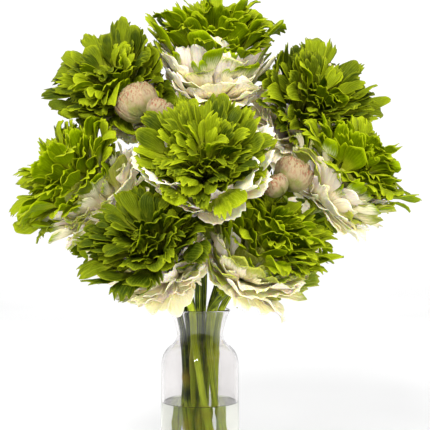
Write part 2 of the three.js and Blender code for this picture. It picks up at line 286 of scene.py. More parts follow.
# %% Fan of veins
vein_group, vein_in, vein_out = node_group(
    "fan_veins",
    [("Petal map", "Vector"), ("Count", "Float"), ("Wander", "Float"), ("Width", "Float")],
    [("Veins", "Float")],
)
wander = times(vein_group, minus(vein_group, noise(vein_group, 260, 1), 0.5), vein_in["Wander"])
across = plus(vein_group, split(vein_group, vein_in["Petal map"])["X"], wander)
wave = maths(vein_group, "PINGPONG", times(vein_group, across, vein_in["Count"]), 0.5)
vein_foot = minus(vein_group, 0.5, vein_in["Width"])
feed(vein_group, vein_out["Veins"], ramp(vein_group, wave, 0.5, vein_foot, 1, 0))
print("made", vein_group.name)

# %% Margin and mottle
margin_group, margin_in, margin_out = node_group(
    "petal_margin", [("Petal map", "Vector"), ("Width", "Float")], [("Margin", "Float")]
)
place = split(margin_group, margin_in["Petal map"])
side = maths(margin_group, "MINIMUM", place["X"], minus(margin_group, 1.0, place["X"]))
nearest = maths(margin_group, "MINIMUM", side, minus(margin_group, 1.0, place["Y"]))
feed(margin_group, margin_out["Margin"], ramp(margin_group, nearest, 0.0, margin_in["Width"], 1, 0))

mottle_group, mottle_in, mottle_out = node_group(
    "mottle", [("Scale", "Float"), ("Contrast", "Float")], [("Tone", "Float")]
)
cloud = minus(mottle_group, noise(mottle_group, mottle_in["Scale"], 3), 0.5)
feed(mottle_group, mottle_out["Tone"], times(mottle_group, cloud, mottle_in["Contrast"]))
print("made", margin_group.name, "and", mottle_group.name)

# %% Map and tone of a petal
def petal_place(tree):
    """The petal map, and how far along the petal a point is."""
    petal_map = add_node(tree, "UVMap", uv_map="petal").outputs[0]
    return petal_map, split(tree, petal_map)["Y"]


def own_tone(tree):
    """The three shares that a piece carries in its tone colour."""
    made = add_node(tree, "SeparateColor")
    feed(tree, made.inputs[0], add_node(tree, "Attribute", attribute_name="tone").outputs["Color"])
    return made.outputs


print("petals can be read")

# %% [markdown]
# ## Petal finishes
# A green petal is darkest in its blade, pale at its claw, and yellow-green along its teeth. That yellow-green
# margin is partly the petal's own edge and partly a painted highlight along the rim, and the same colour is
# painted over the tip as a painted highlight. Its inner side is paler and duller. A cream petal is papery, with
# lime veins near its foot and a slight blush. The petals between crown and skirt are both: cream at the foot
# and green at the tip. So one recipe makes all three finishes. Light passes through petals, so they get a
# little subsurface scattering.

# %% Petal recipe
CREAM = (0.97, 0.9, 0.64)
BLUSH = (0.72, 0.5, 0.38)


def petal_finish(name, dark, bright, claw, margin, vein, roughness, gloss, glow):
    material, tree, surface = new_material(name)
    petal_map, along = petal_place(tree)
    bright_share, cream_share, blush_share = own_tone(tree)
    mottle = use_group(tree, mottle_group, Scale=90.0, Contrast=0.9)["Tone"]
    veins = use_group(tree, vein_group, Petal_map=petal_map, Count=8.0, Wander=0.12, Width=0.24)["Veins"]
    edge = use_group(tree, margin_group, Petal_map=petal_map, Width=0.08)["Margin"]

    # Veins, margin, tip and claw stand out less on a dark petal.
    light = ramp(tree, bright_share, 0.0, 0.8, 0.45, 1.0)
    # Towards its tip the petal is painted lighter in the margin colour, as a painted highlight. The margin
    # mixes the petal's own yellow-green edge with a painted highlight along the rim.
    painted_tip_highlight = ramp(tree, along, 0.8, 1.0, 0.0, 0.3)
    foot = ramp(tree, along, 0.2, 0.62, 0.85, 0.0)
    green = mixed(tree, plus(tree, bright_share, mottle, clamp=True), dark, bright)
    for mask, colour in [
        (times(tree, veins, 0.22), vein), (times(tree, edge, 0.55), margin), (painted_tip_highlight, margin), (foot, claw)
    ]:
        green = mixed(tree, times(tree, mask, light), green, colour)

    # The foot turns cream first, and the tip and the veins stay green longest.
    fade = minus(tree, times(tree, cream_share, 2.2), times(tree, along, 1.15))
    fade = minus(tree, plus(tree, fade, times(tree, mottle, 0.8)), times(tree, veins, 0.14))
    lime = mixed(tree, 0.35, CREAM, vein)
    pale = mixed(tree, ramp(tree, along, 0.05, 0.75, 0.75, 0.05), CREAM, lime)
    pale = mixed(tree, times(tree, veins, 0.16), pale, lime)
    blush = ramp(tree, noise(tree, 45, 3), 0.45, 0.75, 0.0, 0.75)
    pale = mixed(tree, times(tree, blush, blush_share), pale, BLUSH)

    feed_all(tree, surface, {
        "Base Color": mixed(tree, ramp(tree, fade, 0.05, 0.6), green, pale),
        "Roughness": plus(tree, roughness, times(tree, mottle, 0.25)),
        "Specular IOR Level": gloss,
        "Subsurface Weight": glow,
        "Subsurface Radius": (0.7, 1.0, 0.25),
        "Subsurface Scale": 0.0015,
    })
    add_bump(tree, surface, minus(tree, noise(tree, 700), veins), strength=0.5, distance=0.0005)
    return material


# %% Green and cream finishes
green_outer = petal_finish(
    "green_petal_outer_side", dark=(0.013, 0.03, 0), bright=(0.172, 0.255, 0.0), claw=(0.42, 0.46, 0.015),
    margin=(0.33, 0.41, 0.002), vein=(0.35, 0.43, 0.01), roughness=0.42, gloss=0.04, glow=0.08,
)
green_inner = petal_finish(
    "green_petal_inner_side", dark=(0.03, 0.05, 0.001), bright=(0.24, 0.3, 0.003), claw=(0.45, 0.48, 0.03),
    margin=(0.39, 0.45, 0.008), vein=(0.48, 0.54, 0.04), roughness=0.5, gloss=0.05, glow=0.08,
)
cream_skirt = petal_finish(
    "cream_petal", dark=(0.16, 0.19, 0.01), bright=(0.4, 0.42, 0.06), claw=(0.5, 0.5, 0.12),
    margin=(0.45, 0.45, 0.05), vein=(0.62, 0.6, 0.2), roughness=0.55, gloss=0.15, glow=0.7,
)
print("finishes:", green_outer.name, green_inner.name, cream_skirt.name)

# %% [markdown]
# ## Flowers in the bunch
# Where each flower's receptacle is, how wide its crown is and which way it faces follow the CAD source, in
# millimetres, moved and turned a little to meet the photo. A flower is drawn in its own frame first, with its
# receptacle at the origin and +Z along the way it faces. Crowded flowers press each other flat, so a petal's
# points are moved back from the plane between two neighbours by a distance that shrinks smoothly. The tips
# may pass that plane by up to 12 millimetres, where the petals of two heads mesh like the teeth of two combs.
# They never reach a bud.

# %% Flowers and buds
CROWN_UNIT = 58
CROWN_CENTRE_HEIGHT = 51


class Placed:
    """Something that was drawn with +Z along its axis and is turned to face its own way."""

    def __init__(self, faces):
        self.axis = np.array(Vector(faces).normalized())
        self.turn = np.array(Vector((0, 0, 1)).rotation_difference(Vector(faces)).to_matrix())


class Flower(Placed):
    """A cut flower: its base, crown radius and facing, and the ring of the bunch that its stem stands in.
    Tone is how bright its green is, and cream how many of its petals are on their way from cream to green.
    Skirt and reach are how long its cream and green petals are, and droop how far the outer green ones
    hang over."""

    def __init__(self, name, base, radius, faces, ring, tone, cream, skirt, reach, droop):
        super().__init__(faces)
        self.name, self.radius, self.ring = name, radius, ring
        self.tone, self.cream, self.skirt, self.reach, self.droop = tone, cream, skirt, reach, droop
        self.base = np.array(base, float)
        self.scale = radius / CROWN_UNIT
        self.middle = self.base + self.axis * CROWN_CENTRE_HEIGHT * self.scale


class Bud(Placed):
    """A side bud, on the flower stem or the bud stalk named by on, which it leaves at a height."""

    def __init__(self, name, centre, radius, faces, on, leaves):
        super().__init__(faces)
        self.name, self.radius, self.on, self.leaves = name, radius, on, leaves
        self.centre = np.array(centre, float)


# Name, base, crown radius, facing, ring, and then tone, cream, skirt, reach and droop.
FLOWERS = [
    Flower("top", (10, 8, 335), 61, (0.02, -0.2, 0.98), "middle", 0.86, 0.8, 1.2, 1.04, -8),
    Flower("upper_left", (-54, 30, 327), 54, (-0.33, -0.7, 0.6), "inner", 0.31, 0.2, 1, 1.05, 12),
    Flower("upper_right", (74, 32, 311), 54, (0.45, -0.68, 0.58), "inner", 0.27, 0.5, 1.4, 1.1, 6),
    Flower("left", (-66, -8, 249), 57, (-0.76, -0.28, 0.59), "outer", 1.05, 1.1, 1.15, 1.04, 4),
    Flower("right", (92, -20, 253), 56, (0.63, -0.22, 0.75), "outer", 0.8, 1.3, 1.18, 0.94, 2),
    Flower("centre", (4, -60, 261), 51, (0.02, -0.77, 0.64), "inner", 0.38, 0.3, 1.5, 1, -3),
    Flower("lower_left", (-20, -55, 199), 50, (-0.35, -0.6, 0.7), "outer", 0.02, 0.3, 1.05, 1.12, 0),
    Flower("lower_right", (29, -47, 196), 51, (0.5, -0.33, 0.8), "outer", 0.8, 1.3, 1.35, 1.12, -9),
    Flower("back_left", (-47, 50, 219), 49, (-0.5, 0.72, 0.48), "outer", 0.5, 0.4, 1.45, 1.08, 4),
    Flower("back_right", (47, 50, 216), 49, (0.5, 0.72, 0.48), "outer", 0.55, 0.6, 1.45, 1.08, 4),
    Flower("back_top", (3, 60, 285), 49, (0.05, 0.75, 0.66), "inner", 0.5, 0.4, 1.1, 1.08, 4),
]
BUDS = [
    Bud("left_large", (-47, -40, 330), 16, (-0.55, 0.3, 0.78), "upper_left", 255),
    Bud("left_small", (-28, -65, 321), 10.5, (0.5, 0.1, 0.86), "left_large", 290),
    Bud("right_large", (70, -56, 275), 14, (0.5, 0.3, 0.8), "upper_right", 236),
    Bud("right_small", (56, -80, 266), 9, (-0.6, 0.1, 0.79), "right_large", 252),
]
print(len(FLOWERS), "flowers and", len(BUDS), "buds")

# %% Room between neighbours
NEIGHBOUR_OVERLAP = 12
PRESSED_WITHIN = 16
BUD_GAP = 1.2


def pressed(distance, gap):
    """A distance to a neighbour, shrunk smoothly below PRESSED_WITHIN, so that it never gets under the gap."""
    room = PRESSED_WITHIN - gap
    near = gap + room * np.exp(np.minimum(distance - PRESSED_WITHIN, 0) / room)
    return np.where(distance >= PRESSED_WITHIN, distance, near)


def keep_clear(flower, points):
    """Points of a flower's petals, moved back from the flower's neighbours and from the buds."""
    for other in FLOWERS:
        if other is flower:
            continue
        across = other.middle - flower.middle
        span = np.linalg.norm(across)
        across = across / span
        distance = span * flower.radius / (flower.radius + other.radius) - (points - flower.middle) @ across
        points = points + np.outer(distance - pressed(distance, -NEIGHBOUR_OVERLAP), across)
    for bud in BUDS:
        away = points - bud.centre
        length = np.linalg.norm(away, axis=1, keepdims=True)
        distance = length - bud.radius - BUD_GAP
        points = points + away / length * (pressed(distance, 0) - distance)
    return points


print("overlap of two heads:", NEIGHBOUR_OVERLAP, "mm")

# %% [markdown]
# ## Petal patterns
# Eleven flowers hold about three thousand petals, so a petal is modelled once as a flat pattern and copied. A
# pattern starts as a grid one wide and one long. Its rows are scaled to the petal's outline, from the narrow
# claw to the broad blade, and its columns are pulled in or out to cut the teeth. There are a few patterns for
# each kind of petal, so that two that lie side by side differ.

# %% Cutting a pattern
BLADE_START = 0.6


def points_and_faces(piece):
    """The piece's points and faces as plain lists. The piece itself is removed."""
    points = np.array([v.co for v in piece.data.vertices])
    faces = [list(p.vertices) for p in piece.data.polygons]
    bpy.data.objects.remove(piece)
    return points, faces


class Pattern:
    """A flat petal: points across and along it, its faces, and each point's place on the petal map."""

    def __init__(self, piece, columns, rows):
        points, faces = points_and_faces(piece)
        self.points = points[:, :2]
        # Turned over, so that the faces' fronts come to lie on the petal's inner side.
        self.faces = np.array(faces)[:, ::-1]
        index = np.arange(len(points))
        self.map = np.column_stack([(index % (columns + 1)) / columns, (index // (columns + 1)) / rows])


def cut_pattern(name, rows, widths, tips):
    """rows: how far along each row is. widths: how wide the petal is there. tips: how far a column reaches."""
    columns, count = len(tips) - 1, len(rows) - 1
    deselect_all()
    bpy.ops.mesh.primitive_grid_add(x_subdivisions=columns, y_subdivisions=count, size=1, location=(0, 0.5, 0))
    piece = bpy.context.object
    bpy.ops.object.transform_apply(location=True)
    bpy.ops.object.mode_set(mode="EDIT")
    for row in reversed(range(count + 1)):
        select_points(lambda v: v.index // (columns + 1) == row)
        bpy.ops.transform.translate(value=(0, rows[row] - row / count, 0))
        bpy.ops.transform.resize(value=(widths[row], 1, 1), center_override=(0, rows[row], 0))
    for column, reach in enumerate(tips):
        share = (reach - BLADE_START) / (1 - BLADE_START)
        select_points(lambda v: v.index % (columns + 1) == column and v.co.y > BLADE_START)
        bpy.ops.transform.resize(value=(1, share, 1), center_override=(0, BLADE_START, 0))
    bpy.ops.object.mode_set(mode="OBJECT")
    pattern = Pattern(piece, columns, count)
    print("pattern", name, len(pattern.faces), "faces")
    return pattern


# %% Green and cream patterns
GREEN_ROWS = [0, 0.42, 0.6, 0.7, 0.81, 0.92, 1]
GREEN_FAN = [0.17, 0.13, 0.24, 0.54, 0.82, 1, 0.95]
GREEN_SPOON = [0.17, 0.14, 0.36, 0.74, 0.96, 1, 0.84]
GREEN_STRAP = [0.24, 0.22, 0.47, 0.73, 0.93, 1, 0.9]
green_patterns = [cut_pattern(name, GREEN_ROWS, widths, tips) for name, widths, tips in [
    ("fan", GREEN_FAN, [0.91, 0.965, 0.985, 0.99, 1, 0.99, 0.98, 0.965, 0.9]),
    ("three lobes", GREEN_FAN, [0.91, 0.97, 0.97, 0.92, 0.98, 1, 0.93, 0.98, 0.92]),
    ("two lobes", GREEN_FAN, [0.92, 0.98, 1, 0.98, 0.89, 0.97, 1, 0.98, 0.92]),
    ("spoon", GREEN_SPOON, [0.89, 0.96, 0.985, 0.99, 1, 0.995, 0.98, 0.955, 0.9]),
    ("fingers", GREEN_FAN, [0.93, 0.9, 0.985, 0.9, 1, 0.99, 0.9, 0.98, 0.92]),
    ("scalloped", GREEN_SPOON, [0.9, 0.97, 0.95, 1, 0.96, 1, 0.95, 0.975, 0.91]),
    ("strap", GREEN_STRAP, [0.92, 0.97, 0.99, 1, 1, 0.995, 0.985, 0.965, 0.92]),
    ("cut strap", GREEN_STRAP, [0.91, 0.97, 0.93, 0.99, 1, 0.93, 0.99, 0.96, 0.91]),
]]
CREAM_ROWS = [0, 0.16, 0.32, 0.48, 0.62, 0.74, 0.85, 0.94, 1]
CREAM_ROUND = [0.24, 0.4, 0.6, 0.77, 0.9, 0.98, 1, 0.97, 0.88]
CREAM_SPLIT = [0.2, 0.3, 0.48, 0.7, 0.86, 0.97, 1, 0.98, 0.9]
cream_patterns = [cut_pattern(name, CREAM_ROWS, widths, tips) for name, widths, tips in [
    ("round", CREAM_ROUND, [0.89, 0.95, 0.97, 1, 0.97, 0.99, 0.965, 0.94, 0.88]),
    ("notched", CREAM_ROUND, [0.9, 0.97, 1, 0.96, 0.9, 0.95, 0.99, 0.95, 0.89]),
    ("split", CREAM_SPLIT, [0.88, 0.96, 0.94, 0.98, 0.95, 1, 0.93, 0.97, 0.88]),
    ("frilled", CREAM_SPLIT, [0.9, 0.97, 0.95, 0.99, 0.96, 1, 0.95, 0.98, 0.9]),
]]

# %% [markdown]
# ## Bending a pattern into a petal
# A real petal leaves the flower's axis at one angle and ends at another, is cupped across, ripples along its
# margins, and may be folded or twisted. One function lays a pattern along such a line, turns it into the
# flower's frame and keeps it clear of the neighbours. The sheets of one crown or skirt are then one mesh, and
# the Solidify modifier gives them their thickness. Its material offset puts the outer side's finish on their
# backs.

# %% Bending petals
LINE_STEPS = 24
CURL_START = 0.7


def petal_line(petal, along):
    """Where the petal's middle line is at each share of its length: radius, height and lean from the axis."""
    share = np.linspace(0, 1, LINE_STEPS + 1)
    lean = petal["lean"] + (petal["end_lean"] - petal["lean"]) * share**2
    lean = lean + petal["curl"] * np.clip((share - CURL_START) / (1 - CURL_START), 0, 1) ** 2
    step = petal["length"] / LINE_STEPS
    middle = (lean[1:] + lean[:-1]) / 2
    radius = petal["start"][0] + np.concatenate([[0], np.cumsum(np.sin(middle)) * step])
    height = petal["start"][1] + np.concatenate([[0], np.cumsum(np.cos(middle)) * step])
    return np.interp(along, share, radius), np.interp(along, share, height), np.interp(along, share, lean)


def bend(pattern, petal, flower):
    """The pattern's points in the bunch, in millimetres."""
    across, along = pattern.points.T
    radius, height, lean = petal_line(petal, along)
    azimuth = petal["azimuth"]
    out = np.array([math.cos(azimuth), math.sin(azimuth), 0])
    around = np.array([-math.sin(azimuth), math.cos(azimuth), 0])
    inward = np.outer(-np.cos(lean), out) + np.outer(np.sin(lean), [0, 0, 1])
    twist = petal["twist"] * (0.3 + 0.7 * along)
    sideways = across * petal["width"]
    edge = np.abs(2 * across) ** 1.5
    ripple = petal["ripple"] * along**2 * (
        edge * np.sin(petal["beats"] * along + np.sign(across) * 1.3 + petal["phase"])
        + 0.7 * np.sin(11 * across + petal["phase"])
    )
    pleat = petal["pleat"] * np.cos(8 * math.pi * across) * np.clip(2 * along - 0.6, 0, 1)
    fold = np.abs(across) * petal.get("fold", 0) * along
    lift = 4 * across**2 * petal["cup"] * along + fold + ripple + pleat
    points = np.outer(radius, out) + np.outer(height, [0, 0, 1])
    points += np.outer(sideways * np.cos(twist) + petal.get("sweep", 0) * along**2, around)
    points += inward * (sideways * np.sin(twist) + lift)[:, None]
    points = flower.base + (points * flower.scale) @ flower.turn.T
    return keep_clear(flower, points)


def degrees(draw, middle, spread):
    return math.radians(middle + draw.uniform(-spread, spread))


print("petals can be bent")

# %% From parts to a piece
PETAL_THICKNESS = 0.35


def join_parts(name, parts, materials):
    """One object from parts, each given as (points in millimetres, faces, map of the faces' corners, tones)."""
    points, own_faces, maps, tones = zip(*parts)
    starts = np.cumsum([0] + [len(own) for own in points]).tolist()
    faces = [[start + index for index in face] for start, own in zip(starts, own_faces) for face in own]
    mesh = bpy.data.meshes.new(name)
    mesh.from_pydata((np.concatenate(points) * MM).tolist(), [], faces)
    mesh.uv_layers.new(name="petal").data.foreach_set("uv", np.concatenate(maps).ravel())
    tone = mesh.attributes.new("tone", "FLOAT_COLOR", "POINT")
    tone.data.foreach_set("color", np.concatenate(tones).ravel())
    for material in materials:
        mesh.materials.append(material)
    piece = bpy.data.objects.new(name, mesh)
    bpy.context.scene.collection.objects.link(piece)
    return piece


def sheets_to_piece(name, sheets, thickness, materials):
    """One solid object from many bent patterns, each given as (pattern, points, tone)."""
    parts = []
    for pattern, bent, tone in sheets:
        corner_map = pattern.map[pattern.faces.ravel()]
        parts.append((bent, pattern.faces.tolist(), corner_map, np.tile([*tone, 1.0], (len(bent), 1))))
    piece = join_parts(name, parts, materials)
    deselect_all()
    piece.select_set(True)
    bpy.context.view_layer.objects.active = piece
    solid = piece.modifiers.new("thickness", "SOLIDIFY")
    solid.thickness = thickness * MM
    solid.offset = 0
    solid.material_offset = len(materials) - 1
    bpy.ops.object.modifier_apply(modifier=solid.name)
    bpy.ops.object.shade_smooth()
    return piece


def dress(piece, slot, *nodes):
    """The piece rides on the only body and stands for its CAD nodes, which it hides. The slot is not used."""
    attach(piece, "root")
    if nodes:
        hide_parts(*nodes)


def grow(things, sheets_of, seed, title, finishes, slot, node=None, thickness=PETAL_THICKNESS):
    """A dressed piece of petals for each flower or bud, drawn with a seed of its own."""
    for index, thing in enumerate(things):
        sheets = sheets_of(thing, random.Random(seed + index))
        piece = sheets_to_piece(title + thing.name, sheets, thickness, finishes)
        dress(piece, slot, *([node + thing.name] if node else []))
    print(piece.name, "is the last, with", len(piece.data.vertices), "points")


GREEN_SIDES = [green_inner, green_outer]
print("pieces can be grown")

# %% [markdown]
# ## Crowns
# A crown is a dome of narrow-clawed green petals that all leave the receptacle. The inner ones stand up, the
# outer ones lean out and curl over. They grow in clumps of four, each clump turned from the last by the
# golden angle, as plants do, so no two clumps lie in line. Small frilled petals fill the heart, and below the
# crown a few rounds of half cream petals cup it from outside.

# %% Petals of a crown
# Each kind of petal is drawn for a flower at a share of the way through its clumps, and in millimetres.
def crown_petal(draw, flower, share, azimuth):
    """An inner petal, from the middle of the crown (share 0) to its outside (share 1)."""
    lean = 4 + (43 + 0.5 * flower.droop) * share**0.6
    return dict(
        start=(2 + 3 * share, 27 - 19 * share),
        lean=degrees(draw, lean, 8), end_lean=degrees(draw, lean + 18 + flower.droop * share, 18),
        length=(58 + 20 * share) * flower.reach * draw.uniform(0.62, 1.04),
        width=draw.uniform(11, 19) * (0.82 + 0.36 * share),
        azimuth=azimuth + draw.gauss(0, 0.2), twist=draw.gauss(0, 0.45 - 0.2 * share), sweep=draw.gauss(0, 5),
        cup=draw.uniform(-3.5, 2.5), fold=draw.uniform(-1, 1.5), pleat=draw.uniform(0.02, 0.14),
        curl=degrees(draw, 44, 45),
        ripple=draw.uniform(0.6, 2.0), beats=draw.uniform(9, 16), phase=draw.uniform(0, 6),
    )


def heart_petal(draw, flower, share, azimuth):
    """One of the small frilled petals deep in the middle, where all flowers are alike."""
    return dict(
        start=(1.5, 27), lean=degrees(draw, 10, 10), end_lean=degrees(draw, 25, 45),
        length=draw.uniform(20, 34), width=draw.uniform(8, 13), azimuth=azimuth, twist=draw.uniform(-1, 1),
        cup=draw.uniform(-3, 3), fold=draw.uniform(0, 3), pleat=0.15, curl=degrees(draw, 40, 60),
        ripple=draw.uniform(1, 2), beats=draw.uniform(9, 15), phase=draw.uniform(0, 6),
    )


def between_petal(draw, flower, share, azimuth):
    """A petal between the crown and the skirt: it cups the crown from outside, and is cream for some way up."""
    return dict(
        start=(7 + 2 * share, 9 - 2 * share),
        lean=degrees(draw, 54 + 14 * share, 6), end_lean=degrees(draw, 26 + 22 * share, 14),
        length=(60 - 10 * share) * draw.uniform(0.68, 1.08), width=draw.uniform(11, 18),
        azimuth=azimuth + draw.uniform(-0.3, 0.3), twist=draw.uniform(-0.6, 0.6), sweep=draw.gauss(0, 4),
        cup=draw.uniform(0, 5), fold=draw.uniform(0, 3), pleat=draw.uniform(0.02, 0.16),
        curl=degrees(draw, 14, 40),
        ripple=draw.uniform(0.6, 1.6), beats=draw.uniform(9, 15), phase=draw.uniform(0, 6),
    )


print("three kinds of petal in a crown")

# %% Crowns
CLUMPS = 42
CLUMP_PETALS = 4
HEART_PETALS = 12
BETWEEN_PETALS = 18
GOLDEN_ANGLE = math.pi * (3 - math.sqrt(5))
CROWN_SEED = 500


def crown_tone(draw, kind, flower, share, clump_tone):
    """How bright, how cream and how blushed a petal of the crown is."""
    if kind is crown_petal:
        bright = clump_tone + draw.gauss(0, 0.27)
        return bright, draw.gauss(0.15 * flower.cream - 0.05, 0.08), draw.random() * 0.2
    if kind is heart_petal:
        return clump_tone + 0.2, 0, 0
    return clump_tone + 0.25, draw.uniform(0.3, 0.45) + 0.3 * share, draw.random() * 0.6


def crown_sheets(flower, draw):
    sheets = []
    spin = draw.uniform(0, 2 * math.pi)
    between = round(BETWEEN_PETALS * (1 + flower.cream))
    plan = [(crown_petal, CLUMPS, CLUMP_PETALS), (heart_petal, HEART_PETALS, 1), (between_petal, between, 1)]
    for kind, clumps, together in plan:
        for clump in range(clumps):
            share = (clump + 0.5) / clumps
            clump_tone = flower.tone + draw.gauss(0, 0.2)
            for _ in range(together):
                petal = kind(draw, flower, share, spin + clump * GOLDEN_ANGLE)
                tone = crown_tone(draw, kind, flower, share, clump_tone)
                pattern = draw.choice(green_patterns)
                sheets.append((pattern, bend(pattern, petal, flower), np.clip(tone, 0, 1)))
    return sheets


grow(FLOWERS, crown_sheets, CROWN_SEED, "crown_petals_", GREEN_SIDES, "green_petal", "crown_")

# %% [markdown]
# ## Skirts
# Under the crown the outermost petals are broad, cream and ruffled. The upper rounds stand up round the crown
# like a bowl, the lower ones lie flat, and the lowest droop over the stem. On a flower that is on its way
# from cream to green, some petals of the upper rounds have turned partly green.

# %% Skirts
# How many petals, the radius and height they start at, their first and last lean, length and width.
SKIRT_ROUNDS = [
    (10, 8, 8, 50, 14, 44, 20),
    (11, 8, 7, 58, 20, 43, 22),
    (11, 8, 6, 67, 30, 41, 24),
    (11, 8, 5, 77, 43, 38, 25),
    (11, 8, 4, 87, 60, 35, 26),
    (10, 8, 3, 96, 80, 32, 26),
    (8, 7, 1.5, 105, 104, 27, 24),
]
TURNING_ROUNDS = 5
TURNING_FROM = 0.6
SKIRT_SEED = 900


def skirt_petal(draw, flower, layer, azimuth):
    _, radius, height, lean, end_lean, length, width = SKIRT_ROUNDS[layer]
    return dict(
        start=(radius, height), lean=degrees(draw, lean, 9), end_lean=degrees(draw, end_lean, 20),
        length=length * flower.skirt * draw.uniform(0.66, 1.12),
        width=width * flower.skirt * draw.uniform(0.66, 1.1),
        azimuth=azimuth + draw.uniform(-0.3, 0.3), twist=draw.uniform(-0.45, 0.45), cup=draw.uniform(2, 7),
        curl=degrees(draw, 15, 45), ripple=draw.uniform(1.4, 3.0), pleat=draw.uniform(0.05, 0.4),
        beats=draw.uniform(11, 19), phase=draw.uniform(0, 6),
    )


def skirt_sheets(flower, draw):
    sheets = []
    for layer, (count, *_) in enumerate(SKIRT_ROUNDS):
        turn = draw.uniform(0, 2 * math.pi)
        for index in range(count):
            petal = skirt_petal(draw, flower, layer, turn + 2 * math.pi * index / count)
            pattern = draw.choice(cream_patterns)
            cream = draw.uniform(0.8, 1)
            if layer < TURNING_ROUNDS:
                cream -= 0.95 * max(flower.cream - TURNING_FROM, 0) * draw.random()
            tone = (draw.gauss(0.6, 0.2), cream, draw.uniform(0, 0.6))
            sheets.append((pattern, bend(pattern, petal, flower), np.clip(tone, 0, 1)))
    return sheets


grow(FLOWERS, skirt_sheets, SKIRT_SEED, "skirt_petals_", [cream_skirt], "cream_petal", "outer_petals_")

# %% [markdown]
# ## Glass vase
# The vase is blown glass: a straight body, a shoulder, a narrow waist and a flared mouth. It is round, so its
# outline says everything. A small disc at the middle of the foot is extruded and scaled from ring to ring of
# the outline, up the outside, over the lip and down the inside, which gives one closed wall of real
# thickness. Glass needs that, because light bends where it enters the wall and where it leaves it.

# %% Vase outline
BODY_RADIUS = 31.2
WAIST_RADIUS = 18.4
RIM_RADIUS = 24
BODY_START = 12
SHOULDER_HEIGHT = 122
WAIST_HEIGHT = 150
VASE_HEIGHT = 170
GLASS_WALL = 2.2
GLASS_FLOOR = 6
LIP_RADIUS = GLASS_WALL / 2


def bezier(corners, steps):
    """Points along a Bezier curve of any degree, without its first point."""
    points = []
    for share in np.linspace(0, 1, steps + 1)[1:]:
        level = [np.array(corner, float) for corner in corners]
        while len(level) > 1:
            level = [a + (b - a) * share for a, b in zip(level, level[1:])]
        points.append(level[0])
    return points


def vase_side(inset):
    """The vase's outline from body to rim, or the line inside it at a distance: radius and height."""
    body, waist, rim = BODY_RADIUS - inset, WAIST_RADIUS - inset, RIM_RADIUS - inset
    shoulder = (body, SHOULDER_HEIGHT)
    bend_start = (body, SHOULDER_HEIGHT + 12)
    shoulder_end = np.array((waist + 4.6, SHOULDER_HEIGHT + 19.2))
    narrowest = (waist, WAIST_HEIGHT)
    side = [(body, z) for z in np.linspace(BODY_START, SHOULDER_HEIGHT, 9)]
    side += bezier([shoulder, bend_start, shoulder_end + (4.2, -3.4), shoulder_end], 14)
    side += bezier([shoulder_end, shoulder_end - (2.8, -2.3), (waist, SHOULDER_HEIGHT + 24), narrowest], 10)
    side += bezier([narrowest, (waist + 1.6, WAIST_HEIGHT + 10), (rim, VASE_HEIGHT - LIP_RADIUS)], 9)
    return [tuple(point) for point in side]


# %% A turned piece
def turned(name, outline, sides):
    """A round closed piece from its outline in millimetres, from one end of its axis to the other."""
    deselect_all()
    (radius, height), *rest = outline
    bpy.ops.mesh.primitive_circle_add(
        vertices=sides, radius=radius * MM, location=(0, 0, height * MM), fill_type="NGON"
    )
    piece = bpy.context.object
    piece.name = piece.data.name = name
    bpy.ops.object.transform_apply(location=True)
    bpy.ops.object.mode_set(mode="EDIT")
    for next_radius, next_height in rest:
        rise = (next_height - height) * MM
        bpy.ops.mesh.extrude_region_move(TRANSFORM_OT_translate={"value": (0, 0, rise)})
        factor = next_radius / radius
        bpy.ops.transform.resize(value=(factor, factor, 1), center_override=(0, 0, next_height * MM))
        radius, height = next_radius, next_height
    bpy.ops.mesh.select_all(action="SELECT")
    bpy.ops.mesh.normals_make_consistent(inside=False)
    bpy.ops.object.mode_set(mode="OBJECT")
    bpy.ops.object.shade_smooth()
    return piece


VASE_SIDES = 96
FOOT = [(0.4, 1.4), (14, 1.2), (22, 0.5), (25, 0.05), (27.2, 0), (29, 0.5), (30.3, 1.6), (31, 3.2), (31.2, 5.2)]
INNER_FLOOR = [(29, 10), (28.6, 8.3), (27.5, 7), (25.5, 6.2), (20, GLASS_FLOOR), (0.4, GLASS_FLOOR)]
lip_middle = np.array((RIM_RADIUS - LIP_RADIUS, VASE_HEIGHT - LIP_RADIUS))
lip_angles = np.radians(np.linspace(20, 160, 7))
lip = [tuple(lip_middle + LIP_RADIUS * np.array((math.cos(angle), math.sin(angle)))) for angle in lip_angles]
vase_outline = FOOT + vase_side(0) + lip + vase_side(GLASS_WALL)[::-1] + INNER_FLOOR
vase = turned("glass_bottle_vase", vase_outline, VASE_SIDES)
print("vase:", len(vase.data.polygons), "faces")

# %% [markdown]
# ## Glass and water
# Glass and water are the same recipe with another index of refraction. Blown glass is never quite even, so a
# very soft noise bends its normal a little. The water's wall lies a hair inside the glass, so that a ray
# passes straight from one into the other, with no film of air between them. At its edge the water climbs the
# glass.

# %% Glass and water
def clear_finish(name, colour, index, waviness):
    material, tree, surface = new_material(name)
    feed_all(tree, surface, {"Base Color": colour, "Roughness": 0.0, "IOR": index, "Transmission Weight": 1.0})
    add_bump(tree, surface, noise(tree, 38, 1, stretch=(1, 1, 0.35)), strength=waviness, distance=0.001)
    return material


WATER_LEVEL = 96
WATER_RADIUS = BODY_RADIUS - GLASS_WALL + 0.04
vase.data.materials.append(clear_finish("clear_glass", (0.898, 0.882, 0.878), index=1.46, waviness=0.12))
dress(vase, "clear_glass", "vase")

water_foot = [(0.4, 5.97), (20, 5.97), (25.6, 6.15), (27.55, 6.95), (28.65, 8.25), (WATER_RADIUS, 10)]
